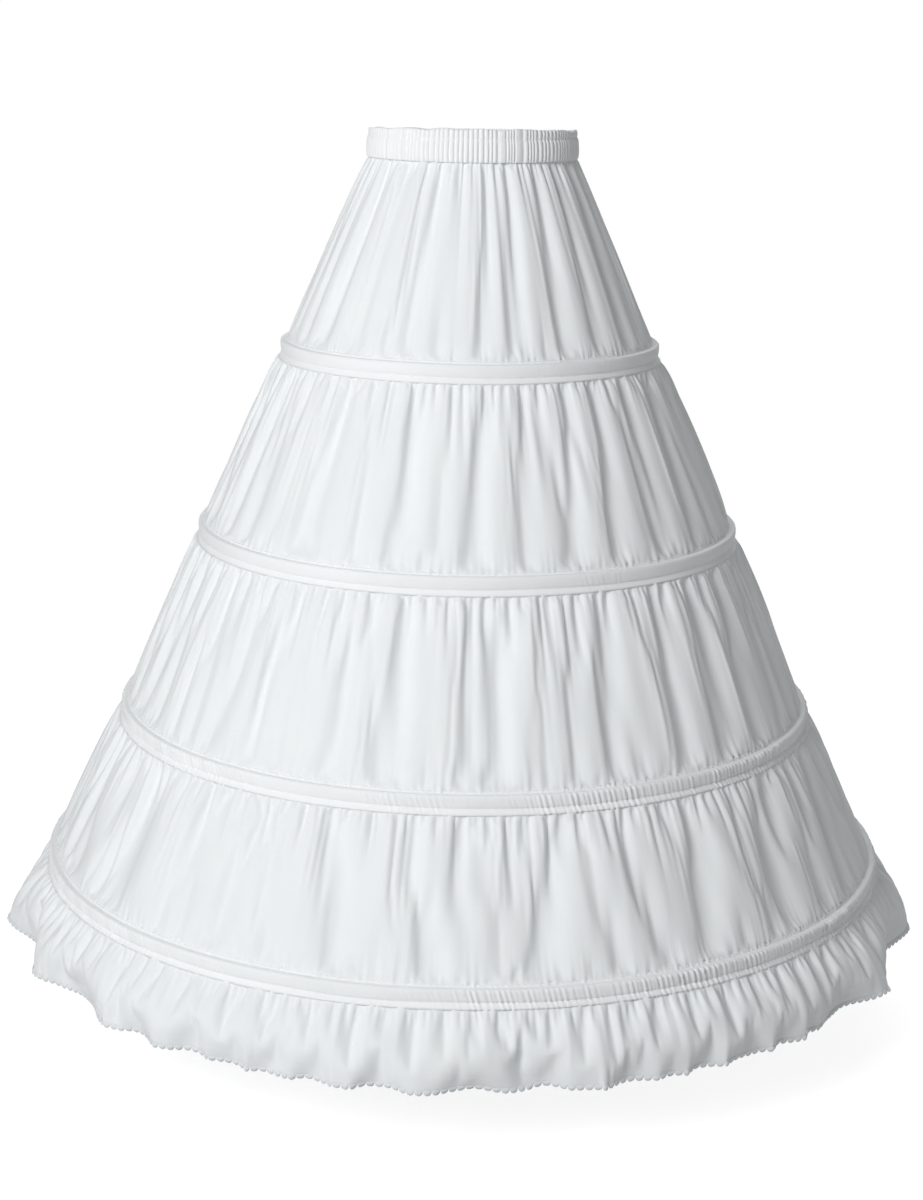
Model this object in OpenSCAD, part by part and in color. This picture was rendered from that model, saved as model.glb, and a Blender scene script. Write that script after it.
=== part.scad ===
// Hooped petticoat, a cage crinoline covered in white cotton.
// Four gathered tiers of cloth hang from an elastic waistband. A sprung steel
// hoop runs in a casing at the foot of each tier, and a gathered ruffle with a
// scalloped edging finishes the hem.
// Millimetres, +Z up, origin on the axis at mid height of the waistband.
// The wearer faces -Y, so the hoop joiners lie at the back, on +Y.

/* [Waistband] */
// Inside diameter of the waistband
waist_d = 228; // [190:1:330]
// Width of the elastic in the tunnel
elastic_w = 20; // [12:1:40]
// Thickness of the elastic
elastic_t = 1.4; // [0.8:0.1:2.5]
// Height of the frilled heading above the tunnel
heading_h = 9; // [4:1:16]
// Cloth that closes the tunnel above and below the elastic
tunnel_seam_h = 1.5; // [1:0.1:4]
// Length of the gap left at the back for threading the elastic
threading_len = 30; // [15:1:60]
// Number of pleats gathered into the waistband
band_pleats = 132; // [60:1:180]
// Depth of a waistband pleat from crest to valley
pleat_depth = 1.8; // [0.5:0.1:3]

/* [Hoops] */
// Diameter of hoop 1, the top hoop, at the middle of its steel
hoop_1_d = 425; // [340:1:520]
// Diameter of hoop 2
hoop_2_d = 616; // [530:1:700]
// Diameter of hoop 3
hoop_3_d = 798; // [710:1:880]
// Diameter of hoop 4, the lowest hoop
hoop_4_d = 974; // [890:1:1100]
// Drop from the waist line to hoop 1
hoop_1_drop = 230; // [150:1:320]
// Drop from the waist line to hoop 2
hoop_2_drop = 439; // [380:1:520]
// Drop from the waist line to hoop 3
hoop_3_drop = 648; // [580:1:720]
// Drop from the waist line to hoop 4
hoop_4_drop = 824; // [780:1:900]
// Width of the hoop steel
steel_w = 7; // [4:0.5:12]
// Thickness of the hoop steel with its coating
steel_t = 1.4; // [0.8:0.1:2.5]
// Length of the sleeve that joins the ends of a hoop
joiner_len = 50; // [30:1:90]
// Wall of the joining sleeve
joiner_wall = 0.6; // [0.4:0.1:1.2]
// Gap left between the two ends of a hoop inside its sleeve
butt_gap = 1; // [0.5:0.1:4]

/* [Cloth] */
// Thickness of the cloth with its fullness
cloth_t = 0.8; // [0.4:0.1:1.2]
// Height of the stitched lip above each hoop casing
lip_h = 3; // [1:0.5:8]
// Height of the seam binding below each hoop casing
binding_h = 6; // [3:0.5:14]
// Gap left between the ends of a casing for threading its hoop
casing_gap = 3; // [1:0.5:20]
// Number of folds gathered into tier 1, the top tier
tier_1_folds = 34; // [18:1:44]
// Number of folds gathered into tier 2
tier_2_folds = 36; // [20:1:46]
// Number of folds gathered into tier 3
tier_3_folds = 38; // [22:1:48]
// Number of folds gathered into tier 4
tier_4_folds = 40; // [24:1:50]
// Depth of a tier's fold from crest to valley
fold_depth = 14; // [4:0.5:16]
// How far a tier swells past a straight cone at mid height
tier_swell = 3; // [0:0.5:10]

/* [Ruffle] */
// Height of the ruffle from its seam to its hem
ruffle_h = 66; // [40:1:120]
// How far the ruffle's hem stands out past the lowest hoop
ruffle_flare = 29; // [10:1:60]
// How far the ruffle swells past a straight flare at mid height
ruffle_swell = 12; // [0:0.5:20]
// Number of folds gathered into the ruffle
ruffle_folds = 32; // [20:1:44]
// Depth of a ruffle fold from crest to valley
ruffle_depth = 17; // [6:0.5:24]
// Height of the scalloped edging below the hem
scallop_h = 6; // [3:0.5:10]
// Share of the edging's height that lies above its notches
scallop_root = 0.35; // [0.2:0.05:0.6]

/* [Hidden] */
$fn = 360;
// Room left round a piece that lies loose in its tunnel
ease = 0.3;
// Room between a hoop's end and the bore of its sleeve
sleeve_clear = 0.15;
// Overlap of joined profiles, so that they merge into one solid
bite = 1;

// Waistband, from the bore outwards and from its foot upwards
band_r = waist_d / 2;
tunnel_in_r = band_r + cloth_t;
tunnel_out_r = tunnel_in_r + elastic_t + 2 * ease;
band_out_r = tunnel_out_r + cloth_t;
tunnel_h = elastic_w + 2 * ease;
tunnel_part_h = tunnel_h + 2 * tunnel_seam_h;
band_h = tunnel_part_h + heading_h;
band_foot_z = -band_h / 2;
heading_z = band_foot_z + tunnel_part_h;
stitch_groove_h = 1;
stitch_groove_t = 0.3;
pleat_jitter = 0.35;

// Hoops, listed from the top down
hoop_d = [hoop_1_d, hoop_2_d, hoop_3_d, hoop_4_d];
hoop_drop = [hoop_1_drop, hoop_2_drop, hoop_3_drop, hoop_4_drop];
tier_folds = [tier_1_folds, tier_2_folds, tier_3_folds, tier_4_folds];
function hoop_r(i) = hoop_d[i] / 2;
function hoop_z(i) = -hoop_drop[i];
back_deg = 90;

// Section of a hoop's steel, its sleeve and its casing, each round the one before
sleeve_in_t = steel_t + 2 * sleeve_clear;
sleeve_in_w = steel_w + 2 * sleeve_clear;
sleeve_out_t = sleeve_in_t + 2 * joiner_wall;
sleeve_out_w = sleeve_in_w + 2 * joiner_wall;
channel_t = sleeve_out_t + 2 * ease;
channel_w = sleeve_out_w + 2 * ease;
casing_t = channel_t + 2 * cloth_t;
casing_w = channel_w + casing_t;
seam_t = 3 * cloth_t;
casing_sides = 12;

// The cloth's line runs straight from seam to seam through the hoops' middles
band_seam_r = (band_r + band_out_r) / 2;
function line_r(i) = i < 0 ? band_seam_r : hoop_r(i);
function line_z(i) = i < 0 ? band_foot_z : hoop_z(i);
function slope_above(i) = (line_r(i) - line_r(i - 1)) / (line_z(i - 1) - line_z(i));
function slope_below(i) = i < 3 ? slope_above(i + 1) : ruffle_flare / ruffle_h;
lip_rise = casing_w / 2 + lip_h;
binding_fall = casing_w / 2 + binding_h;
function lip_r(i) = hoop_r(i) - slope_above(i) * lip_rise;
function lip_z(i) = hoop_z(i) + lip_rise;
function binding_r(i) = i < 0 ? band_seam_r : hoop_r(i) + slope_below(i) * binding_fall;
function binding_z(i) = i < 0 ? band_foot_z : hoop_z(i) - binding_fall;

// Gathers: three columns of points make a crest, a shoulder and a valley
fold_shape = [1, 0.25, -1];
fold_columns = len(fold_shape);
rim_pucker = 0.7 * (seam_t - cloth_t) / 2;
fold_uneven = 0.45;
fold_drift = 0.3;
short_fold_share = 0.35;
tier_seed = 11;
ruffle_seed = 71;
band_seed = 131;

// A gathered wall's rows as [way down, share of the fold depth, share in a short fold, share of the swell]
tier_rows = [
    [0.00, 0.00, 0.00, 0.00],
    [0.14, 0.85, 0.80, 0.60],
    [0.62, 0.75, short_fold_share, 1.00],
    [1.00, 0.00, 0.00, 0.00]
];
ruffle_rows = [
    [0.00, 0.00, 0.00, 0.00],
    [0.40, 0.80, 0.80, 1.00],
    [1.00, 1.00, short_fold_share, 0.00]
];

hem_z = binding_z(3) - ruffle_h;
hem_r = binding_r(3) + ruffle_flare;

function mix(a, b, t) = a + (b - a) * t;
function polar(r, deg, z) = [r * cos(deg), r * sin(deg), z];

// Triangles of a closed wall whose points are listed row by row, outside first and then inside
function wall_faces(rows, columns) =
    let (inside = rows * columns)
    concat(
        [for (k = [0:rows - 2], j = [0:columns - 1])
            let (a = k * columns + j, b = k * columns + (j + 1) % columns)
            each [[a, b, a + columns], [b, b + columns, a + columns]]],
        [for (k = [0:rows - 2], j = [0:columns - 1])
            let (a = inside + k * columns + j, b = inside + k * columns + (j + 1) % columns)
            each [[a, a + columns, b], [b, a + columns, b + columns]]],
        [for (j = [0:columns - 1])
            let (n = (j + 1) % columns)
            each [[j, inside + j, n], [n, inside + j, inside + n]]],
        [for (j = [0:columns - 1])
            let (last = (rows - 1) * columns, a = last + j, b = last + (j + 1) % columns)
            each [[a, b, inside + a], [b, inside + b, inside + a]]]
    );

// Radii of one row of a gathered wall: short folds fade where long ones run on
function row_radii(base, depth, row, folds, uneven) =
    [for (j = [0:folds * fold_columns - 1])
        let (
            fold = floor(j / fold_columns),
            share = fold % 2 == 0 ? row[1] : row[2],
            swing = max(rim_pucker, depth / 2 * share * (1 + fold_uneven * uneven[fold]))
        )
        base + swing * fold_shape[j % fold_columns]];

function column_degrees(folds, seed) =
    let (drift = rands(-fold_drift, fold_drift, folds * fold_columns, seed))
    [for (j = [0:folds * fold_columns - 1]) 360 * (j + drift[j]) / (folds * fold_columns)];

function wall_base(top_r, foot_r, swell, row) = mix(top_r, foot_r, row[0]) + swell * row[3];

// One tier or ruffle: a wall of cloth gathered between two level seams
module gathered_wall(top_r, top_z, foot_r, foot_z, folds, depth, swell, rows, seed) {
    uneven = rands(-1, 1, folds, seed + 1);
    degrees = column_degrees(folds, seed);
    columns = len(degrees);
    function skin(offset) = [
        for (row = rows)
            let (
                radii = row_radii(wall_base(top_r, foot_r, swell, row), depth, row, folds, uneven),
                z = mix(top_z, foot_z, row[0])
            )
            for (j = [0:columns - 1]) polar(radii[j] + offset, degrees[j], z)
    ];
    points = concat(skin(cloth_t / 2), skin(-cloth_t / 2));
    polyhedron(points, wall_faces(len(rows), columns), convexity = 10);
}

// Outline of one storey of the waistband, pleated all round
module pleated_outline(seed) {
    jitter = rands(-pleat_jitter, pleat_jitter, 2 * band_pleats, seed);
    polygon([
        for (j = [0:2 * band_pleats - 1])
            let (
                r = band_out_r + (j % 2 == 0 ? pleat_depth * (1 - abs(jitter[j])) : 0),
                deg = 180 * (j + jitter[j]) / band_pleats
            )
            [r * cos(deg), r * sin(deg)]
    ]);
}

module waistband_casing() {
    color("white")
    difference() {
        union() {
            translate([0, 0, band_foot_z])
                linear_extrude(tunnel_part_h - stitch_groove_h) pleated_outline(band_seed);
            translate([0, 0, heading_z - stitch_groove_h - bite])
                cylinder(r = band_out_r - stitch_groove_t, h = stitch_groove_h + 2 * bite);
            translate([0, 0, heading_z])
                linear_extrude(heading_h) pleated_outline(band_seed + 1);
        }
        cylinder(r = band_r, h = 2 * band_h, center = true);
        translate([0, 0, band_foot_z + tunnel_seam_h]) ring(tunnel_in_r, tunnel_out_r, tunnel_h);
        // gap left in the tunnel's lower seam at the back, where the elastic is threaded
        translate([0, 0, band_foot_z - bite])
            rotate([0, 0, back_deg - arc_deg(band_r, threading_len) / 2])
                ring(
                    tunnel_in_r + ease, tunnel_out_r - ease,
                    tunnel_seam_h + 2 * bite, arc_deg(band_r, threading_len)
                );
    }
}

module ring(in_r, out_r, h, span_deg = 360) {
    rotate_extrude(angle = span_deg) translate([in_r, 0]) square([out_r - in_r, h]);
}

module waist_elastic() {
    color("gainsboro")
    translate([0, 0, band_foot_z + tunnel_seam_h + ease])
        ring(tunnel_in_r + ease, tunnel_out_r - ease, elastic_w);
}

module tier(i) {
    color("whitesmoke")
    gathered_wall(
        binding_r(i - 1), binding_z(i - 1), lip_r(i), lip_z(i),
        tier_folds[i], fold_depth, tier_swell, tier_rows, tier_seed + 10 * i
    );
}

// A strip of seam in section, from a hoop's middle to a level edge
module seam_strip(run, rise) {
    half = sign(rise) * seam_t / 2;
    polygon([[-half, 0], [half, 0], [run + half, rise], [run - half, rise]]);
}

module casing_section(i) {
    difference() {
        union() {
            square([casing_t, channel_w], center = true);
            for (side = [-1, 1])
                translate([0, side * channel_w / 2]) circle(d = casing_t, $fn = casing_sides);
            seam_strip(-slope_above(i) * lip_rise, lip_rise);
            seam_strip(slope_below(i) * binding_fall, -binding_fall);
        }
        square([channel_t, channel_w], center = true);
    }
}

// A casing's two ends stop short of each other at the back, where its hoop is threaded and joined
module hoop_casing(i) {
    color("white")
    hoop_arc(i, back_deg + 180, 360 - arc_deg(hoop_r(i), casing_gap)) casing_section(i);
}

// Sweeps a section round a hoop's circle, over an arc about the given middle
module hoop_arc(i, middle_deg, span_deg) {
    translate([0, 0, hoop_z(i)])
        rotate([0, 0, middle_deg - span_deg / 2])
            rotate_extrude(angle = span_deg) translate([hoop_r(i), 0]) children();
}

function arc_deg(r, len) = len / r * 180 / PI;

module hoop_steel(i) {
    color("lightsteelblue")
    hoop_arc(i, back_deg + 180, 360 - arc_deg(hoop_r(i), butt_gap))
        square([steel_t, steel_w], center = true);
}

module hoop_joiner(i) {
    color("silver")
    hoop_arc(i, back_deg, arc_deg(hoop_r(i), joiner_len)) difference() {
        square([sleeve_out_t, sleeve_out_w], center = true);
        square([sleeve_in_t, sleeve_in_w], center = true);
    }
}

module ruffle() {
    color("whitesmoke")
    gathered_wall(
        binding_r(3), binding_z(3), hem_r, hem_z,
        ruffle_folds, ruffle_depth, ruffle_swell, ruffle_rows, ruffle_seed
    );
}

// The hem's radii and angles, which the edging follows with a notch and two points on each stretch
scallop_notches = [1, 0, 0];
scallop_columns = len(scallop_notches);

module scalloped_edging() {
    uneven = rands(-1, 1, ruffle_folds, ruffle_seed + 1);
    degrees = column_degrees(ruffle_folds, ruffle_seed);
    hem_row = ruffle_rows[len(ruffle_rows) - 1];
    radii = row_radii(hem_r, ruffle_depth, hem_row, ruffle_folds, uneven);
    stretches = len(degrees);
    columns = stretches * scallop_columns;
    function hem_point(c, offset, z) =
        let (
            j = floor(c / scallop_columns),
            n = (j + 1) % stretches,
            t = (c % scallop_columns) / scallop_columns
        )
        mix(polar(radii[j] + offset, degrees[j], z), polar(radii[n] + offset, degrees[n], z), t);
    function edge_z(c) = hem_z - scallop_h * (scallop_notches[c % scallop_columns] ? scallop_root : 1);
    function skin(offset) = concat(
        [for (c = [0:columns - 1]) hem_point(c, offset, hem_z)],
        [for (c = [0:columns - 1]) hem_point(c, offset, edge_z(c))]
    );
    points = concat(skin(cloth_t / 2), skin(-cloth_t / 2));
    color("white")
    polyhedron(points, wall_faces(2, columns), convexity = 10);
}

waistband_casing();
waist_elastic();
tier(0);  // tier_1
hoop_casing(0);  // hoop_1_casing
hoop_steel(0);  // hoop_1_steel
hoop_joiner(0);  // hoop_1_joiner
tier(1);  // tier_2
hoop_casing(1);  // hoop_2_casing
hoop_steel(1);  // hoop_2_steel
hoop_joiner(1);  // hoop_2_joiner
tier(2);  // tier_3
hoop_casing(2);  // hoop_3_casing
hoop_steel(2);  // hoop_3_steel
hoop_joiner(2);  // hoop_3_joiner
tier(3);  // tier_4
hoop_casing(3);  // hoop_4_casing
hoop_steel(3);  // hoop_4_steel
hoop_joiner(3);  // hoop_4_joiner
ruffle();
scalloped_edging();
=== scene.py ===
import math

import bpy
import numpy as np
from mathutils import Matrix, Vector


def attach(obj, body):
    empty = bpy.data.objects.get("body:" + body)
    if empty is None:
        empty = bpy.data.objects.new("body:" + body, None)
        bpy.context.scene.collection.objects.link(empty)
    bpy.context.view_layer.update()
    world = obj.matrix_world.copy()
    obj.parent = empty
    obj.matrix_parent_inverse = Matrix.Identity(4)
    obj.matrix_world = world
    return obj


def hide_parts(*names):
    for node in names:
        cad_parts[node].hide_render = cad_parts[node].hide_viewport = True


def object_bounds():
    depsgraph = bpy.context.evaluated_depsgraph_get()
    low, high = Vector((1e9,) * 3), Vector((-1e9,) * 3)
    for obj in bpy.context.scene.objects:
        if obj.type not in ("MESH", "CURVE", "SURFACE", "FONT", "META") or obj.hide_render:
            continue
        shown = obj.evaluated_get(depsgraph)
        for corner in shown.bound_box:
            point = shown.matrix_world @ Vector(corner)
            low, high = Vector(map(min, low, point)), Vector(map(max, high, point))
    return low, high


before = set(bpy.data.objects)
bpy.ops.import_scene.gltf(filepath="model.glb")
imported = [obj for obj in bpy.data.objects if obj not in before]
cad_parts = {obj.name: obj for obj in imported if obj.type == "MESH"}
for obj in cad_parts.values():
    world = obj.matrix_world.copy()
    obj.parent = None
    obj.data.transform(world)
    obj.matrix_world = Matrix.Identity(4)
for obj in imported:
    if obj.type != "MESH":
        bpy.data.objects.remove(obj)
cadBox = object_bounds()
print("frame loaded")

scene = bpy.context.scene
scene.view_settings.view_transform = "Standard"


# Colours are written as sRGB hex and turned linear here.
def linear(hexColour):
    parts = [int(hexColour[i : i + 2], 16) / 255 for i in (1, 3, 5)]
    return [c / 12.92 if c <= 0.04045 else ((c + 0.055) / 1.055) ** 2.4 for c in parts] + [1.0]


# Adds a shader node, sets its options and either fills or links its sockets.
def addNode(tree, kind, options=None, sockets=None):
    node = tree.nodes.new(kind)
    for name, value in (options or {}).items():
        setattr(node, name, value)
    for name, value in (sockets or {}).items():
        if isinstance(value, bpy.types.NodeSocket):
            tree.links.new(value, node.inputs[name])
        else:
            node.inputs[name].default_value = value
    return node


def emptyMaterial(name):
    material = bpy.data.materials.new(name)
    material.use_nodes = True
    material.node_tree.nodes.clear()
    return material, material.node_tree


# Wave textures turn 20 radians per unit, so this gives the scale for bands of that spacing.
def bandScale(spacingMm):
    return 2 * math.pi / (20 * spacingMm / 1000)


cottonCloth = {
    "colour": "#f1f4f5",
    "shade": "#eaedef",
    "roughness": 0.9,
    "sheen": 0.12,
    "ior": 1.46,
    "threadMm": 1.5,
    "threadDepthMm": 0.03,
    "threadWander": 0.6,
    "slubMm": 4.0,
    "slubDepthMm": 0.15,
    "slubAlong": 0.12,  # how fast slubs change down the cloth, against round it
    "fineStrength": 0.5,
    "blotchMm": 60,
    "creaseMm": 24,
    "creaseDepthMm": 0.65,
    "creaseAlong": 0.35,  # the same for creases
}


# Plain woven cotton: a matte, slightly uneven white, with a faint slub along its threads and shallow
# creases. The real threads are a third of a millimetre apart, too fine to show, so they are drawn coarser.
def wovenCotton(name, settings):
    material, tree = emptyMaterial(name)
    cut = addNode(tree, "ShaderNodeUVMap", {"uv_map": "cut"}).outputs["UV"]
    threads = []
    for direction in ("X", "Y"):
        wave = addNode(
            tree,
            "ShaderNodeTexWave",
            {"wave_type": "BANDS", "bands_direction": direction},
            {
                "Vector": cut,
                "Scale": bandScale(settings["threadMm"]),
                "Distortion": settings["threadWander"],
                "Detail": 1.0,
            },
        )
        threads.append(wave.outputs["Fac"])
    weave = addNode(tree, "ShaderNodeMath", {"operation": "MULTIPLY"}, {0: threads[0], 1: threads[1]})
    stretched = addNode(
        tree, "ShaderNodeMapping", {}, {"Vector": cut, "Scale": (1.0, settings["slubAlong"], 1.0)}
    )
    slub = addNode(
        tree,
        "ShaderNodeTexNoise",
        {},
        {"Vector": stretched.outputs["Vector"], "Scale": 1000 / settings["slubMm"], "Detail": 3.0},
    )
    blotch = addNode(
        tree,
        "ShaderNodeTexNoise",
        {},
        {"Vector": cut, "Scale": 1000 / settings["blotchMm"], "Detail": 2.0},
    )
    colour = addNode(
        tree,
        "ShaderNodeMix",
        {"data_type": "RGBA"},
        {"Factor": blotch.outputs["Fac"], 6: linear(settings["colour"]), 7: linear(settings["shade"])},
    )
    hanging = addNode(
        tree, "ShaderNodeMapping", {}, {"Vector": cut, "Scale": (1.0, settings["creaseAlong"], 1.0)}
    )
    crease = addNode(
        tree,
        "ShaderNodeTexNoise",
        {},
        {"Vector": hanging.outputs["Vector"], "Scale": 1000 / settings["creaseMm"], "Detail": 2.0},
    )
    creaseBump = addNode(
        tree,
        "ShaderNodeBump",
        {},
        {"Strength": 1.0, "Distance": settings["creaseDepthMm"] / 1000, "Height": crease.outputs["Fac"]},
    )
    slubBump = addNode(
        tree,
        "ShaderNodeBump",
        {},
        {
            "Strength": settings["fineStrength"],
            "Distance": settings["slubDepthMm"] / 1000,
            "Height": slub.outputs["Fac"],
            "Normal": creaseBump.outputs["Normal"],
        },
    )
    weaveBump = addNode(
        tree,
        "ShaderNodeBump",
        {},
        {
            "Strength": settings["fineStrength"],
            "Distance": settings["threadDepthMm"] / 1000,
            "Height": weave.outputs["Value"],
            "Normal": slubBump.outputs["Normal"],
        },
    )
    shader = addNode(
        tree,
        "ShaderNodeBsdfPrincipled",
        {},
        {
            "Base Color": colour.outputs[2],
            "Roughness": settings["roughness"],
            "IOR": settings["ior"],
            "Sheen Weight": settings["sheen"],
            "Normal": weaveBump.outputs["Normal"],
        },
    )
    addNode(tree, "ShaderNodeOutputMaterial", {}, {"Surface": shader.outputs["BSDF"]})
    return material


plainFinish = {
    "steelColour": "#dfe1e2",
    "steelRoughness": 0.38,
    "plasticColour": "#d6d8d9",
    "plasticRoughness": 0.5,
    "elasticColour": "#e3e3e1",
    "elasticRoughness": 0.85,
    "grainMm": 6,
    "elasticGrainMm": 2,
    "darker": 0.88,
    "ior": 1.5,
}


# A plain finish for the pieces inside the casings: one colour, slightly mottled with a darker one.
def mottled(name, colour, roughness, grainMm):
    material, tree = emptyMaterial(name)
    place = addNode(tree, "ShaderNodeTexCoord").outputs["Object"]
    grain = addNode(
        tree, "ShaderNodeTexNoise", {}, {"Vector": place, "Scale": 1000 / grainMm, "Detail": 2.0}
    )
    base = linear(colour)
    dark = [c * plainFinish["darker"] for c in base[:3]] + [1.0]
    mix = addNode(
        tree, "ShaderNodeMix", {"data_type": "RGBA"}, {"Factor": grain.outputs["Fac"], 6: base, 7: dark}
    )
    shader = addNode(
        tree,
        "ShaderNodeBsdfPrincipled",
        {},
        {"Base Color": mix.outputs[2], "Roughness": roughness, "IOR": plainFinish["ior"]},
    )
    addNode(tree, "ShaderNodeOutputMaterial", {}, {"Surface": shader.outputs["BSDF"]})
    return material


cotton = wovenCotton("woven cotton", cottonCloth)
# Doubled and pressed cotton: the same matte weave with a slightly whiter face.
casingCotton = wovenCotton("doubled woven cotton", dict(cottonCloth, colour="#f5f7f8", shade="#eef1f2"))
# Cotton lace: finer threads, and painted shade: a little greyer than the cloth it edges, for the shade seen
# through its fine holes.
laceCotton = wovenCotton(
    "cotton lace", dict(cottonCloth, colour="#e6e9eb", shade="#dce0e3", slubMm=2.0, threadMm=1.2)
)
# Sewing thread: matte white cotton, seen as rows of small raised dashes.
threadCotton = wovenCotton("sewing thread", dict(cottonCloth, colour="#f6f7f8", shade="#eef0f2"))
# Spring steel in a white plastic coat: pale, with a soft gloss.
coatedSteel = mottled(
    "coated spring steel", plainFinish["steelColour"], plainFinish["steelRoughness"], plainFinish["grainMm"]
)
# Moulded plastic: pale and satin.
mouldedPlastic = mottled(
    "moulded plastic", plainFinish["plasticColour"], plainFinish["plasticRoughness"], plainFinish["grainMm"]
)
# Woven elastic: off-white and matte, mottled as finely as its threads.
wovenElastic = mottled(
    "woven elastic",
    plainFinish["elasticColour"],
    plainFinish["elasticRoughness"],
    plainFinish["elasticGrainMm"],
)
print("materials made")


# A grid of points, row by row down the cloth and column by column round it, made into a smooth ring.
# With loop the last row joins the first, as in a tube. The cut's own metres go into its UVs.
def ringMesh(name, points, width, length, material, loop=False):
    rows, columns = points.shape[:2]
    bands = rows if loop else rows - 1
    k, j = np.meshgrid(np.arange(bands), np.arange(columns), indexing="ij")
    below, beside = (k + 1) % rows, (j + 1) % columns
    corners = np.stack(
        [k * columns + j, below * columns + j, below * columns + beside, k * columns + beside], -1
    ).reshape(-1, 4)
    u = np.stack([j, j, j + 1, j + 1], -1).reshape(-1, 4) / columns * width
    v = np.stack([k, k + 1, k + 1, k], -1).reshape(-1, 4) / bands * length
    mesh = bpy.data.meshes.new(name)
    mesh.vertices.add(rows * columns)
    mesh.vertices.foreach_set("co", points.reshape(-1).astype(np.float32))
    mesh.loops.add(corners.size)
    mesh.loops.foreach_set("vertex_index", corners.reshape(-1).astype(np.int32))
    mesh.polygons.add(len(corners))
    mesh.polygons.foreach_set("loop_start", np.arange(0, corners.size, 4, dtype=np.int32))
    mesh.polygons.foreach_set("use_smooth", np.ones(len(corners), bool))
    layer = mesh.uv_layers.new(name="cut")
    layer.data.foreach_set("uv", np.stack([u, v], -1).reshape(-1).astype(np.float32))
    mesh.update(calc_edges=True)
    mesh.validate()
    piece = bpy.data.objects.new(name, mesh)
    scene.collection.objects.link(piece)
    mesh.materials.append(material)
    return piece


# The points of a CAD ring and how far each is from the axis, in metres.
def cadPoints(node):
    points = np.array([vertex.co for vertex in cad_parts[node].data.vertices])
    return points, np.hypot(points[:, 0], points[:, 1])


# Height and middle radius of a CAD ring's top or foot edge.
def edgeOf(node, end):
    points, radius = cadPoints(node)
    edge = points[:, 2].max() if end == "top" else points[:, 2].min()
    atEdge = np.abs(points[:, 2] - edge) < 0.0002  # within a fifth of a millimetre
    return float(edge), float(radius[atEdge].mean())


# Height and radius of a hoop's steel at its middle.
def hoopOf(number):
    points, radius = cadPoints(f"hoop_{number}_steel")
    return float(points[:, 2].min() + points[:, 2].max()) / 2, float(radius.min() + radius.max()) / 2


# A random closed curve of unit spread whose waves are about waveLength long on a round of that length.
def bandNoise(rng, count, around, waveLength, spread=0.35):
    waves = np.fft.rfft(rng.normal(size=count))
    length = around / np.maximum(np.arange(len(waves)), 1)
    waves *= np.exp(-np.log(length / waveLength) ** 2 / (2 * spread**2))
    waves[0] = 0
    curve = np.fft.irfft(waves, count)
    return curve / (curve.std() + 1e-12)


# One pass over a set of point pairs: each pair is drawn to its rest length, held points staying put.
def drawPairs(start, end, freeStart, freeEnd, rest, firmness):
    gap = end - start
    length = np.sqrt((gap * gap).sum(-1, keepdims=True)) + 1e-9
    free = freeStart + freeEnd
    move = gap * (firmness * (length - rest) / length / np.where(free == 0, 1, free))
    return start + freeStart * move, end - freeEnd * move


# Cloth relaxed over many passes: threads keep their length, shear gives, bends smooth out and
# weight pulls down.
# across holds each row's own thread length, and down each gap's, so the cut may flare.
def settle(points, free, across, down, passes, smooth, weight, shear=0.4, outward=0.0):
    rows = len(points)
    diagonal = np.hypot((across[1:] + across[:-1]) / 2, down)
    for _ in range(passes):
        points[..., 2] -= weight * free[..., 0]
        radius = np.hypot(points[..., 0], points[..., 1])[..., None]
        points[..., :2] += outward * free * points[..., :2] / radius
        for _ in range(2):
            points[:, 0::2], points[:, 1::2] = drawPairs(
                points[:, 0::2], points[:, 1::2], free[:, 0::2], free[:, 1::2], across, 1.0
            )
            points, free = np.roll(points, -1, 1), np.roll(free, -1, 1)
        points, free = np.roll(points, 2, 1), np.roll(free, 2, 1)
        for first in (0, 1):
            pairs = (rows - first) // 2
            high, low = slice(first, first + 2 * pairs, 2), slice(first + 1, first + 2 * pairs, 2)
            points[high], points[low] = drawPairs(
                points[high], points[low], free[high], free[low], down[high][:pairs], 1.0
            )
            for side in (-1, 1):
                a, b = drawPairs(
                    points[high],
                    np.roll(points[low], side, 1),
                    free[high],
                    np.roll(free[low], side, 1),
                    diagonal[high][:pairs],
                    shear,
                )
                points[high], points[low] = a, np.roll(b, -side, 1)
        bend = 0.5 * (np.roll(points, 1, 1) + np.roll(points, -1, 1)) - points
        bend[1:-1] += 0.5 * (points[2:] + points[:-2]) - points[1:-1]
        points += smooth * bend * free
    return points


def spline(before, start, end, after, t):
    return 0.5 * (
        2 * start
        + (end - before) * t
        + (2 * before - 5 * start + 4 * end - after) * t**2
        + (3 * start - before - 3 * end + after) * t**3
    )


# Twice the points round the cloth and, when tall, down it too, on smooth curves through the old ones.
def refine(points, tall):
    rows, columns = points.shape[:2]
    halfway = spline(np.roll(points, 1, 1), points, np.roll(points, -1, 1), np.roll(points, -2, 1), 0.5)
    wide = np.stack([points, halfway], 2).reshape(rows, 2 * columns, 3)
    if not tall:
        return wide
    padded = np.concatenate([2 * wide[:1] - wide[1:2], wide, 2 * wide[-1:] - wide[-2:-1]])
    between = spline(padded[:-3], padded[1:-2], padded[2:-1], padded[3:], 0.5)
    finer = np.empty((2 * rows - 1, 2 * columns, 3))
    finer[0::2], finer[1::2] = wide, between
    return finer


def moveOut(points, distance):
    radius = np.hypot(points[..., 0], points[..., 1])
    points[..., 0] *= 1 + distance / radius
    points[..., 1] *= 1 + distance / radius


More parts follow.
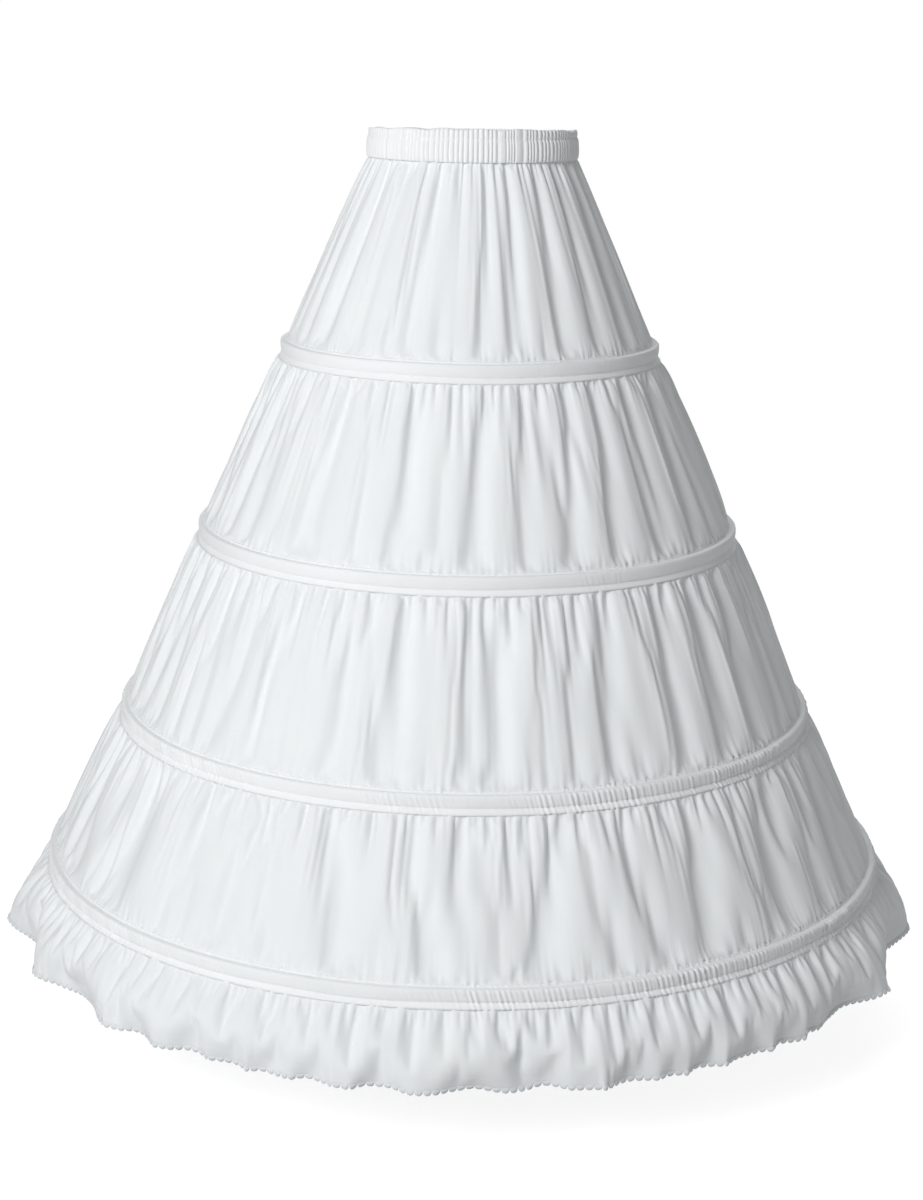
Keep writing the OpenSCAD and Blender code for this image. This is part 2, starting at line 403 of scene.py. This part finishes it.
# Folds of crisp cotton lean over to one side, and have broad ridges and narrow valleys.
# What stands out from the broad lie of its row moves round by a share of its height. Then ridges and
# valleys are both drawn in by the square of their height, which flattens the one and narrows the other.
def leanFolds(points, settings):
    radius = np.hypot(points[..., 0], points[..., 1])
    waves = np.fft.rfft(radius, axis=1)
    broadWaves = int(2 * math.pi * radius.mean() / (settings["broadMm"] / 1000))
    waves[:, broadWaves + 1 :] = 0
    stand = radius - np.fft.irfft(waves, radius.shape[1], axis=1)
    turn = np.arctan2(points[..., 1], points[..., 0]) + settings["leanOver"] * stand / radius
    limit = 0.0005 / settings["crispPerMm"]  # past this height a ridge would sink
    radius = radius - settings["crispPerMm"] * 1000 * np.clip(stand, -limit, limit) ** 2
    points[..., 0], points[..., 1] = radius * np.cos(turn), radius * np.sin(turn)


# Ways down the cloth, closer together at its two seams than between them.
def rowWays(rows, crowding):
    even = np.linspace(0, 1, rows)
    return (even - crowding * np.sin(2 * math.pi * even) / (2 * math.pi))[:, None]


# One strip of cloth gathered into a seam at its top and, for a tier, into another at its foot.
# Its fullness is what the cut has to spare over the round it covers, most of it at the seams.
# The broadest folds settle first on a coarse grid, and finer ones as the grid is made finer.
def gatherStrip(name, seed, settings):
    rng = np.random.default_rng(seed)
    (topZ, topR), (footZ, footR) = edgeOf(name, "top"), edgeOf(name, "foot")
    footR -= settings["hemInMm"] / 1000
    slant = math.hypot(topZ - footZ, footR - topR)
    length = settings["slack"] * slant
    around = 2 * math.pi * footR
    held = settings["footHeld"]

    def ease(way, topShare):
        middle = settings["fullness"]
        top = (settings["topFullness"] - middle) * np.exp(-way * slant / settings["topFade"])
        foot = (settings["footFullness"] - middle) * np.exp(-(1 - way) * slant / settings["footFade"])
        return middle + topShare * top + foot

    def relax(points, passes, topShare):
        count, wide = points.shape[:2]
        way = rowWays(count, settings["crowding"])
        free = np.ones((count, wide, 1))
        free[0] = 0
        if held:
            free[-1] = 0
        base = topR + (footR - topR) * way
        across = (2 * math.pi * base * ease(way, topShare) / wide)[..., None]
        down = (np.diff(way, axis=0) * length)[..., None]
        push = settings["outward"] * np.sin(math.pi * way[..., None])
        smooth, weight = settings["smooth"], settings["weight"]
        return settle(points, free, across, down, passes, smooth, weight, outward=push)

    def addFolds(points, longest, shortest):
        rows, columns = points.shape[:2]
        turn = 2 * math.pi * np.arange(columns) / columns
        way = rowWays(rows, settings["crowding"])
        fromTop, fromFoot = way * slant, (1 - way) * slant
        belly = np.sin(math.pi * way) ** settings["bellyBlunt"] if held else way ** settings["hemBlunt"]
        for waveMm, depthMm, fade, lean in settings["folds"]:
            if not shortest <= waveMm < longest:
                continue
            wave = bandNoise(rng, columns, around, waveMm / 1000, settings["foldSpread"])
            wave = depthMm / 1000 * np.clip(wave, -settings["foldLimit"], settings["foldLimit"])
            patch = bandNoise(rng, columns, around, settings["patchWaves"] * waveMm / 1000)
            wave = wave * np.clip(1 + settings["patchDepth"] * patch, *settings["patchRange"])
            wave = np.interp(turn + lean * fromTop / footR, turn, wave, period=2 * math.pi)
            if fade > 0:
                atSeam = np.exp(-fromTop / (settings["seamMm"] / 1000))
                reach = np.exp(-fromTop / fade) * (1 - settings["seamHold"] * atSeam)
            elif fade < 0:
                reach = np.exp(fromFoot / fade)
            else:
                reach = belly
            moveOut(points, wave * reach)

    columns = 2 * round(around / (settings["stepMm"] / 1000) / 2)
    rows = round(length / (settings["rowMm"] / 1000)) + 1
    way = rowWays(rows, settings["crowding"])
    turn = 2 * math.pi * np.arange(columns) / columns
    swell = settings["swellMm"] / 1000 * np.sin(math.pi * way ** settings["swellRise"])
    radius = topR + (footR - topR) * way + swell + 0 * turn
    height = topZ + (footZ - topZ) * way + 0 * turn
    points = np.stack([radius * np.cos(turn), radius * np.sin(turn), height], -1)
    longest = math.inf
    finest = len(settings["stages"]) - 1
    for level, (passes, topShare) in enumerate(settings["stages"]):
        if level:
            points = refine(points, level < finest)  # the last time only round the cloth
        shortest = settings["stepsPerFold"] * settings["stepMm"] / 2**level
        addFolds(points, longest, shortest)
        if level == settings["leanLevel"]:
            leanFolds(points, settings)
        points = relax(points, passes, topShare)
        longest = shortest
    # one more row behind each seam, so that no gap shows beside the casing
    lean = (footR - topR) / (topZ - footZ)
    tuck = settings["tuckMm"] / 1000
    rings = [(topR - settings["topTuckLean"] * lean * tuck, topZ + tuck)]
    if held:
        rings.append((footR + lean * tuck, footZ - tuck))
    angle = np.arctan2(points[..., 1], points[..., 0])
    inner = [
        np.stack([r * np.cos(angle[end]), r * np.sin(angle[end]), z + 0 * angle[end]], -1)[None]
        for (r, z), end in zip(rings, (0, -1))
    ]
    points = np.concatenate([inner[0], points] + inner[1:])
    evenSteps = 200
    ways = rowWays(evenSteps, 0)
    width = float(np.mean(2 * math.pi * (topR + (footR - topR) * ways) * ease(ways, 1.0)))
    piece = ringMesh(f"gathered_{name}", points, width, length, cotton)
    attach(piece, "root")
    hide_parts(name)
    return piece, points, (width, length)


# Folds are listed as wave length and depth in millimetres, fade in metres, and lean. A fade above 0 is how
# far below the top seam they reach, one below 0 how far above the foot, and 0 is all the way. The lean is
# how far they go round for each step down.
# Stages are passes and the share of the top seam's fullness, from the coarsest grid on.
# The other fades are in metres too. Weight and outward are metres of push in each pass.
tierCloth = {
    "seed": 100,
    "fullness": 1.07,
    "topFullness": 1.20,
    "topFade": 0.04,
    "footFullness": 1.035,
    "footFade": 0.06,
    "slack": 1.004,
    "stepMm": 16.0,
    "rowMm": 20.0,
    "crowding": 0.5,
    "hemInMm": 0,
    "tuckMm": 3.5,
    "topTuckLean": 1.0,
    "folds": [
        (120, 2.0, 0, 0.0),
        (60, 2.5, 0, 0.12),
        (37, 1.5, 0, -0.08),
        (28, 1.6, 0.07, 0.0),
        (16, 1.1, 0.024, 0.0),
        (9, 0.75, 0.012, 0.0),
        (9, 0.8, -0.011, 0.0),
    ],
    "foldSpread": 0.4,  # how far wave lengths stray from the listed one
    "foldLimit": 1.8,  # the deepest fold, in listed depths
    "patchWaves": 5,  # folds are deep and shallow in patches of this many waves
    "patchDepth": 0.5,
    "patchRange": (0.2, 2),
    "bellyBlunt": 0.6,  # folds that go all the way are deepest midway between two seams
    "hemBlunt": 0.7,  # or at a free hem
    "seamHold": 0.7,  # the seam's stitches hold the gathers down over this way
    "seamMm": 4,
    "stepsPerFold": 3,  # a fold waits for a grid this much finer than its wave
    "leanLevel": 2,
    "leanOver": 0.24,  # how far round a ridge moves, as a share of its height
    "crispPerMm": 0.14,
    "broadMm": 150,  # waves from this length on are the broad lie
    "swellMm": 2.0,
    "swellRise": 0.8,  # below 1, the swell sits above the middle
    "stages": [(60, 0.0), (60, 0.4), (40, 0.8), (30, 1.0)],
    "smooth": 0.011,
    "weight": 2e-6,
    "outward": 0.0,
    "footHeld": True,
}

topTierCloth = dict(
    tierCloth,
    fullness=1.08,
    topFullness=1.21,
    topFade=0.05,
    stepMm=12.0,
    topTuckLean=0.0,
    folds=[
        (90, 1.6, 0, 0.1),
        (42, 2.8, 0, 0.06),
        (27, 1.4, 0.12, 0.0),
        (14, 0.8, 0.02, 0.0),
        (7, 0.6, 0.01, 0.0),
        (8, 0.5, -0.008, 0.0),
    ],
)

bottomTierCloth = dict(
    tierCloth,
    fullness=1.045,
    folds=[
        (190, 3.0, 0, 0.0),
        (95, 2.8, 0, 0.25),
        (80, 2.4, 0, -0.25),
        (36, 1.7, 0.06, 0.0),
        (16, 1.0, 0.022, 0.0),
        (9, 0.7, 0.012, 0.0),
        (9, 0.8, -0.011, 0.0),
    ],
)

for number, cloth in enumerate((topTierCloth, tierCloth, tierCloth, bottomTierCloth), 1):
    strip, _, cut = gatherStrip(f"tier_{number}", cloth["seed"] + number, cloth)
print("tiers gathered")

ruffleCloth = dict(
    tierCloth,
    seed=211,
    fullness=1.075,
    topFullness=1.28,
    topFade=0.016,
    footFullness=1.068,
    footFade=0.03,
    slack=1.12,
    hemInMm=3,
    rowMm=14.0,
    crowding=0.2,
    folds=[
        (220, 8.5, 0, 0.3),
        (120, 4.2, 0, -0.7),
        (60, 1.6, 0, 0.9),
        (34, 2.0, 0.035, 0.3),
        (18, 1.3, 0.012, 0.0),
        (9, 0.8, 0.006, 0.0),
    ],
    leanOver=0.1,
    crispPerMm=0.03,
    swellMm=17,
    weight=3e-5,
    outward=1.3e-5,
    footHeld=False,
)
ruffle, rufflePoints, ruffleCut = gatherStrip("ruffle", ruffleCloth["seed"], ruffleCloth)
print("ruffle gathered")


# Rows of stitches along a closed line: each a slim thread, proud of the cloth at its middle.
def stitchRow(name, line, pitchMm, longMm, thickMm):
    steps = np.linalg.norm(np.roll(line, -1, 0) - line, axis=1)
    reach = np.concatenate([[0], np.cumsum(steps)])
    closed = np.concatenate([line, line[:1]])
    count = int(reach[-1] / (pitchMm / 1000))
    middle = (np.arange(count) + 0.5) * reach[-1] / count

    def along(place):
        return np.stack([np.interp(place % reach[-1], reach, closed[:, k]) for k in range(3)], -1)

    half = longMm / 2000
    tail, head, centre = along(middle - half), along(middle + half), along(middle)
    out = centre * (1, 1, 0)
    out = out / np.linalg.norm(out, axis=1, keepdims=True) * thickMm / 2000
    up = np.array([0, 0, thickMm / 2000]) + 0 * out
    points = np.stack([tail, head, centre + out, centre + up, centre - out, centre - up], 1)
    tailFaces = [(0, 2, 3), (0, 3, 4), (0, 4, 5), (0, 5, 2)]
    headFaces = [(1, 3, 2), (1, 4, 3), (1, 5, 4), (1, 2, 5)]
    first = points.shape[1] * np.arange(count)[:, None, None]
    corners = (np.array(tailFaces + headFaces)[None] + first).reshape(-1, 3)
    mesh = bpy.data.meshes.new(name)
    mesh.from_pydata(points.reshape(-1, 3).tolist(), [], corners.tolist())
    layer = mesh.uv_layers.new(name="cut")
    flat = points.reshape(-1, 3)[corners.reshape(-1)]
    layer.data.foreach_set("uv", flat[:, [0, 2]].reshape(-1).astype(np.float32))
    mesh.materials.append(threadCotton)
    piece = bpy.data.objects.new(name, mesh)
    scene.collection.objects.link(piece)
    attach(piece, "root")
    return piece


stitching = {"pitchMm": 3.2, "longMm": 2.4, "thickMm": 0.55}

# The two lower casings are drawn into slanting puckers, but for one smooth stretch at the front.
casingCloth = {
    "seed": 300,
    "columnMm": 1.4,
    "wobbleMm": 0.35,
    "swayWaveMm": 200,
    "swayShare": 0.4,
    "liftWaveMm": 260,
    "firstDrawn": 3,
    "puckerMm": 6.0,
    "puckerSpread": 0.28,
    "puckerLimit": 1.7,
    "slantMm": 3.0,
    "smoothDepthMm": 0.10,
    "puckerDepthMm": 1.05,
    "drawnShare": 0.9,
    "smoothedShare": 0.8,
    "smoothDegrees": -107,
    "smoothReachDegrees": 27,
    "patchMm": 260,
    "patchDepth": 0.25,
    "patchRange": (0.1, 1.4),
    "stitchedRows": {"lip": 1, "strip": 12},
    "stitchProudMm": 0.05,
}


# A hoop's casing: a flat-faced channel round the steel, with a lip sewn to the tier above it and a strip
# sewn to the tier below it.
# The section is in millimetres out from the steel and up from it, followed by how much it puckers.
def sewCasing(number, settings):
    rng = np.random.default_rng(settings["seed"] + number)
    node = f"hoop_{number}_casing"
    z, r = hoopOf(number)
    (lipZ, lipR), (stripZ, stripR) = edgeOf(node, "top"), edgeOf(node, "foot")
    lx, ly, sx, sy = (1000 * v for v in (lipR - r, lipZ - z, stripR - r, stripZ - z))
    section = np.array(
        [
            (lx + 0.3, ly, 0.5),
            (0.86 * lx + 0.3, 0.86 * ly, 0.4),
            (0.76 * lx + 0.1, 0.76 * ly, 0.2),
            (-1.2, 7.3, 0.3),
            (1.3, 7.9, 0.6),
            (3.0, 7.5, 0.8),
            (4.0, 6.4, 1.0),
            (4.2, 4.0, 1.0),
            (4.0, 0.2, 1.0),
            (3.6, -3.6, 1.0),
            (3.1, -5.6, 1.0),
            (2.2, -6.5, 0.7),
            (0.58 * sx - 0.35, 0.58 * sy, 0.8),
            (0.8 * sx + 0.6, 0.8 * sy, 0.8),
            (sx + 0.8, sy, 0.5),
            (sx - 0.5, sy, 0.0),
            (0.6 * sx - 0.7, 0.6 * sy, 0.0),
            (-0.6, -7.0, 0.0),
            (-2.5, -5.0, 0.0),
            (-2.9, 4.8, 0.0),
            (lx - 0.4, ly, 0.0),
        ]
    )
    around = 2 * math.pi * r
    columns = round(around / (settings["columnMm"] / 1000))
    turn = 2 * math.pi * np.arange(columns) / columns
    drawn = number >= settings["firstDrawn"]
    depth = settings["puckerDepthMm"] if drawn else settings["smoothDepthMm"]
    away = np.degrees(np.angle(np.exp(1j * (turn - math.radians(settings["smoothDegrees"])))))
    smoothed = np.exp(-((away / settings["smoothReachDegrees"]) ** 4))  # 1 at its middle, with a quick end
    patch = settings["drawnShare"] - settings["smoothedShare"] * smoothed
    patch = patch + settings["patchDepth"] * bandNoise(rng, columns, around, settings["patchMm"] / 1000)
    wave = bandNoise(rng, columns, around, settings["puckerMm"] / 1000, settings["puckerSpread"])
    wave = np.clip(wave, -settings["puckerLimit"], settings["puckerLimit"])
    pucker = depth * np.clip(patch, *settings["patchRange"]) * wave
    sway = settings["wobbleMm"] * bandNoise(rng, columns, around, settings["swayWaveMm"] / 1000)
    lift = settings["wobbleMm"] * bandNoise(rng, columns, around, settings["liftWaveMm"] / 1000)
    inside = np.sin(np.pi * np.clip((section[:, 1] - sy) / (ly - sy), 0, 1))[:, None]
    slant = settings["slantMm"] / 1000 / r * section[:, 1:2] / ly
    pucker = np.interp(turn + slant, turn, pucker, period=2 * math.pi)
    out = r + (section[:, :1] + section[:, 2:] * pucker + settings["swayShare"] * inside * sway) / 1000
    up = z + (section[:, 1:2] + inside * lift) / 1000
    points = np.stack([out * np.cos(turn), out * np.sin(turn), up], -1)
    edges = np.roll(section[:, :2], -1, 0) - section[:, :2]
    breadth = float(np.hypot(edges[:, 0], edges[:, 1]).sum()) / 2000
    piece = ringMesh(f"sewn_{node}", points, around, 2 * breadth, casingCotton, loop=True)
    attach(piece, "root")
    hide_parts(node)
    for place, row in settings["stitchedRows"].items():
        line = points[row].copy()
        moveOut(line, settings["stitchProudMm"] / 1000)
        stitchRow(f"stitches_{place}_{number}", line, **stitching)


for number in (1, 2, 3, 4):
    sewCasing(number, casingCloth)
print("casings sewn")

waistCloth = {
    "seed": 400,
    "pleats": 137,
    "columnsPerPleat": 8,
    "pleatDepthMm": 0.85,
    "pleatSharpness": 2.5,
    "driftMm": 1.1,
    "driftWaveMm": 30,
    "patchMm": 120,
    "patchDepth": 0.2,
    "patchRange": (0.7, 1.35),
    "meanOutMm": 3,  # from the band's inside to the middle of its cloth
    "frillMm": 0.45,
    "frillWaveMm": 50,
    "pinchHighMm": 7.3,  # the stitched line, up from the waist line
    "headingMm": 9,
    "frontLiftMm": 2.0,
    "backDropMm": 7.0,
    "stitchedRow": 6,
    "widestRow": 10,
    "stitchProudMm": 0.1,
}


# The elastic's casing: fine pleats drawn up by the elastic, pinched at the stitched line under a frilled
# heading. The section is in millimetres out from the band's inside and up from the waist line, followed
# by how deep its pleats are.
def sewWaistband(settings):
    rng = np.random.default_rng(settings["seed"])
    inside = round(1000 * float(cadPoints("waistband_casing")[1].min()), 2)  # millimetres
    section = np.array(
        [
            (0.9, 16.9, 0.5),
            (2.0, 16.9, 1.0),
            (2.6, 15.0, 1.1),
            (2.9, 12.5, 1.1),
            (2.9, 10.0, 1.0),
            (2.8, 8.4, 0.9),
            (2.7, 7.3, 0.6),
            (3.4, 6.3, 0.8),
            (4.1, 4.2, 1.0),
            (4.7, 0.0, 1.1),
            (5.0, -4.0, 1.1),
            (5.1, -8.0, 1.1),
            (5.0, -12.0, 1.1),
            (4.7, -15.0, 1.0),
            (4.2, -16.6, 0.8),
            (3.6, -17.0, 0.4),
            (2.0, -16.4, 0.2),
            (0.6, -15.0, 0.1),
            (0.4, -6.0, 0.1),
            (0.4, 6.0, 0.1),
            (0.4, 12.0, 0.2),
            (0.4, 16.2, 0.3),
        ]
    )
    columns = settings["pleats"] * settings["columnsPerPleat"]
    turn = 2 * math.pi * np.arange(columns) / columns
    around = 2 * math.pi * ((inside + settings["meanOutMm"]) / 1000)
    drift = bandNoise(rng, columns, around, settings["driftWaveMm"] / 1000)
    drift = settings["driftMm"] / 1000 / around * 2 * math.pi * drift
    wave = 0.5 + 0.5 * np.cos(settings["pleats"] * (turn + drift))
    patch = 1 + settings["patchDepth"] * bandNoise(rng, columns, around, settings["patchMm"] / 1000)
    patch = np.clip(patch, *settings["patchRange"])
    pleat = settings["pleatDepthMm"] * patch * (1 - 2 * wave ** settings["pleatSharpness"])
    frill = settings["frillMm"] * bandNoise(rng, columns, around, settings["frillWaveMm"] / 1000)
    lift = (settings["frontLiftMm"] - settings["backDropMm"]) / 2
    lift = lift - (settings["frontLiftMm"] + settings["backDropMm"]) / 2 * np.sin(turn)
    out = (inside + section[:, :1] + section[:, 2:] * pleat) / 1000
    top = np.clip((section[:, 1:2] - settings["pinchHighMm"]) / settings["headingMm"], 0, 1)
    up = (section[:, 1:2] + top * (frill + lift)) / 1000
    points = np.stack([out * np.cos(turn), out * np.sin(turn), up], -1)
    edges = np.roll(section[:, :2], -1, 0) - section[:, :2]
    breadth = float(np.hypot(edges[:, 0], edges[:, 1]).sum()) / 2000
    wide = float(np.linalg.norm(np.diff(points[settings["widestRow"]], axis=0), axis=1).sum())
    piece = ringMesh("sewn_waistband_casing", points, wide, 2 * breadth, casingCotton, loop=True)
    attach(piece, "root")
    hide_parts("waistband_casing")
    line = points[settings["stitchedRow"]].copy()
    moveOut(line, settings["stitchProudMm"] / 1000)
    rows = [stitchRow("stitches_waist", line, **stitching)]


sewWaistband(waistCloth)
print("waistband sewn")

laceEdge = {
    "pitchMm": 9.0,
    "columnsPerScallop": 10,
    "rows": 5,
    "rootMm": 0.7,
    "depthMm": 4.8,
    "domeMm": 1.4,
    "lapMm": 1.0,
    "proudMm": 0.4,
    "hemMm": 9,
    "stitchProudMm": 0.2,
}


# Scallops along the ruffle's hem, hanging on in the line of the cloth above them.
def sewEdging(settings):
    hem, above = rufflePoints[-1], rufflePoints[-3]
    steps = np.linalg.norm(np.roll(hem, -1, 0) - hem, axis=1)
    reach = np.concatenate([[0], np.cumsum(steps)])
    count = round(reach[-1] / (settings["pitchMm"] / 1000))
    columns = count * settings["columnsPerScallop"]
    place = np.arange(columns) * reach[-1] / columns

    def along(line):
        closed = np.concatenate([line, line[:1]])
        return np.stack([np.interp(place, reach, closed[:, k]) for k in range(3)], -1)

    fall = along(hem - above)
    fall = fall / np.linalg.norm(fall, axis=1, keepdims=True)
    across = 2 * (np.arange(columns) % settings["columnsPerScallop"]) / settings["columnsPerScallop"] - 1
    arc = np.sqrt(1 - across**2)
    drop = (settings["rootMm"] + settings["depthMm"] * arc) / 1000
    ways = np.linspace(0, 1, settings["rows"])[:, None, None]
    lap = settings["lapMm"] / 1000
    points = along(hem)[None] - lap * fall[None] + ways * (drop[:, None] + lap)[None] * fall[None]
    dome = settings["domeMm"] / 1000 * arc * np.sin(math.pi * ways[..., 0])
    moveOut(points, settings["proudMm"] / 1000 + dome)
    breadth = lap + float(drop.mean())
    piece = ringMesh("sewn_scalloped_edging", points, float(reach[-1]), breadth, laceCotton)
    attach(piece, "root")
    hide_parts("scalloped_edging")
    return piece


edging = sewEdging(laceEdge)
# the row of the ruffle that lies a hem's depth above its edge
fromHem = np.linalg.norm(np.diff(rufflePoints[::-1], axis=0), axis=2).mean(1).cumsum()
hemLine = rufflePoints[-2 - int(np.searchsorted(fromHem, laceEdge["hemMm"] / 1000))].copy()
moveOut(hemLine, laceEdge["stitchProudMm"] / 1000)
hemRow = stitchRow("stitches_hem", hemLine, **stitching)
print("hem sewn")

# The pieces inside the casings keep their CAD shapes and get finishes of their own.
innerFinish = {"waist_elastic": wovenElastic}
for number in (1, 2, 3, 4):
    innerFinish[f"hoop_{number}_steel"] = coatedSteel
    innerFinish[f"hoop_{number}_joiner"] = mouldedPlastic
for node, material in innerFinish.items():
    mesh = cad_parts[node].data
    mesh.materials.clear()
    mesh.materials.append(material)
print("inner pieces finished")

# The photograph's own camera, as its hoops' ellipses give it.
camera = {
    "place": (-0.00513, -2.7074, 0.1254),
    "pitchDegrees": 13.63,
    "rollDegrees": 0.857,
    "lensMm": 70.86,
    "sensorMm": 36,
}


def placeCamera(settings):
    data = bpy.data.cameras.new("camera")
    data.lens, data.sensor_width = settings["lensMm"], settings["sensorMm"]
    eye = bpy.data.objects.new("camera", data)
    eye.rotation_mode = "XYZ"
    eye.location = settings["place"]
    tilt = math.radians(90 - settings["pitchDegrees"])
    roll = math.radians(settings["rollDegrees"])
    c, s = math.cos(tilt), math.sin(tilt)
    cr, sr = math.cos(roll), math.sin(roll)
    turn = Matrix(((1, 0, 0), (0, c, -s), (0, s, c))) @ Matrix(((cr, -sr, 0), (sr, cr, 0), (0, 0, 1)))
    eye.rotation_euler = turn.to_euler()
    scene.collection.objects.link(eye)
    scene.camera = eye


placeCamera(camera)
print("camera placed")

# A large key from the front left, a weak fill from the right and a lamp for the back. Sizes are in metres.
studio = {
    "keyWatts": 95,
    "keyPlace": (-1.75, -2.85, 1.25),
    "keySize": 1.6,
    "fillWatts": 9,
    "fillPlace": (2.8, -1.0, 0.6),
    "fillSize": 2.0,
    "backWatts": 50,
    "backPlace": (0.5, 3.2, 1.0),
    "backSize": 2.0,
    "aim": (0, 0, -0.45),
    "surround": 0.16,
    "floorDrop": 0.10,
    "floorSize": 14,
    "floorGrey": 0.72,
    "shadowGrey": 0.45,
    "floorGlow": 0.86,
    "shadowFrom": 0.9,
    "shadowTo": 1.9,
}


def addLamp(name, place, watts, size, aim):
    data = bpy.data.lights.new(name, "AREA")
    data.energy, data.size = watts, size
    lamp = bpy.data.objects.new(name, data)
    lamp.location = place
    lamp.rotation_euler = (Vector(aim) - Vector(place)).to_track_quat("-Z", "Y").to_euler()
    scene.collection.objects.link(lamp)


# Soft surround light, with plain white where the camera, or anything glossy, sees past the floor.
def lightStudio(settings):
    addLamp("key", settings["keyPlace"], settings["keyWatts"], settings["keySize"], settings["aim"])
    addLamp("fill", settings["fillPlace"], settings["fillWatts"], settings["fillSize"], settings["aim"])
    addLamp("back", settings["backPlace"], settings["backWatts"], settings["backSize"], settings["aim"])
    world = bpy.data.worlds.new("studio")
    world.use_nodes = True
    scene.world = world
    tree = world.node_tree
    tree.nodes.clear()
    rays = addNode(tree, "ShaderNodeLightPath")
    seen = addNode(
        tree,
        "ShaderNodeMath",
        {"operation": "MAXIMUM"},
        {0: rays.outputs["Is Camera Ray"], 1: rays.outputs["Is Transmission Ray"]},
    )
    seen = addNode(
        tree,
        "ShaderNodeMath",
        {"operation": "MAXIMUM"},
        {0: seen.outputs[0], 1: rays.outputs["Is Glossy Ray"]},
    )
    white = (1, 1, 1, 1)
    soft = addNode(tree, "ShaderNodeBackground", {}, {"Color": white, "Strength": settings["surround"]})
    plain = addNode(tree, "ShaderNodeBackground", {}, {"Color": white, "Strength": 1.0})
    mix = addNode(
        tree,
        "ShaderNodeMixShader",
        {},
        {0: seen.outputs[0], 1: soft.outputs[0], 2: plain.outputs[0]},
    )
    addNode(tree, "ShaderNodeOutputWorld", {}, {"Surface": mix.outputs[0]})


# A white floor a hand's width under the hem. The camera sees it glow, so that it is nearly white in the
# light and takes a faint shadow, and it fades to plain white further out. To other rays it is matte grey.
def layFloor(settings):
    low = cadBox[0][2] - settings["floorDrop"]
    half = settings["floorSize"] / 2
    mesh = bpy.data.meshes.new("floor")
    corners = [(-half, -half, 0), (half, -half, 0), (half, half, 0), (-half, half, 0)]
    mesh.from_pydata(corners, [], [(0, 1, 2, 3)])
    floor = bpy.data.objects.new("floor", mesh)
    floor.location.z = low
    scene.collection.objects.link(floor)
    material, tree = emptyMaterial("white floor")
    rays = addNode(tree, "ShaderNodeLightPath")
    white = (1, 1, 1, 1)
    matte = addNode(tree, "ShaderNodeBsdfDiffuse", {}, {"Color": [settings["floorGrey"]] * 3 + [1]})
    faint = addNode(tree, "ShaderNodeBsdfDiffuse", {}, {"Color": [settings["shadowGrey"]] * 3 + [1]})
    glow = addNode(tree, "ShaderNodeEmission", {}, {"Color": white, "Strength": settings["floorGlow"]})
    near = addNode(tree, "ShaderNodeAddShader", {}, {0: faint.outputs[0], 1: glow.outputs[0]})
    far = addNode(tree, "ShaderNodeEmission", {}, {"Color": white, "Strength": 1.0})
    place = addNode(tree, "ShaderNodeTexCoord").outputs["Object"]
    reach = addNode(tree, "ShaderNodeVectorMath", {"operation": "LENGTH"}, {0: place})
    fade = addNode(
        tree,
        "ShaderNodeMapRange",
        {"interpolation_type": "SMOOTHSTEP"},
        {
            "Value": reach.outputs["Value"],
            "From Min": settings["shadowFrom"],
            "From Max": settings["shadowTo"],
        },
    )
    shown = addNode(
        tree, "ShaderNodeMixShader", {}, {0: fade.outputs["Result"], 1: near.outputs[0], 2: far.outputs[0]}
    )
    mix = addNode(
        tree,
        "ShaderNodeMixShader",
        {},
        {0: rays.outputs["Is Camera Ray"], 1: matte.outputs[0], 2: shown.outputs[0]},
    )
    addNode(tree, "ShaderNodeOutputMaterial", {}, {"Surface": mix.outputs[0]})
    mesh.materials.append(material)


lightStudio(studio)
layFloor(studio)
print("studio lit")
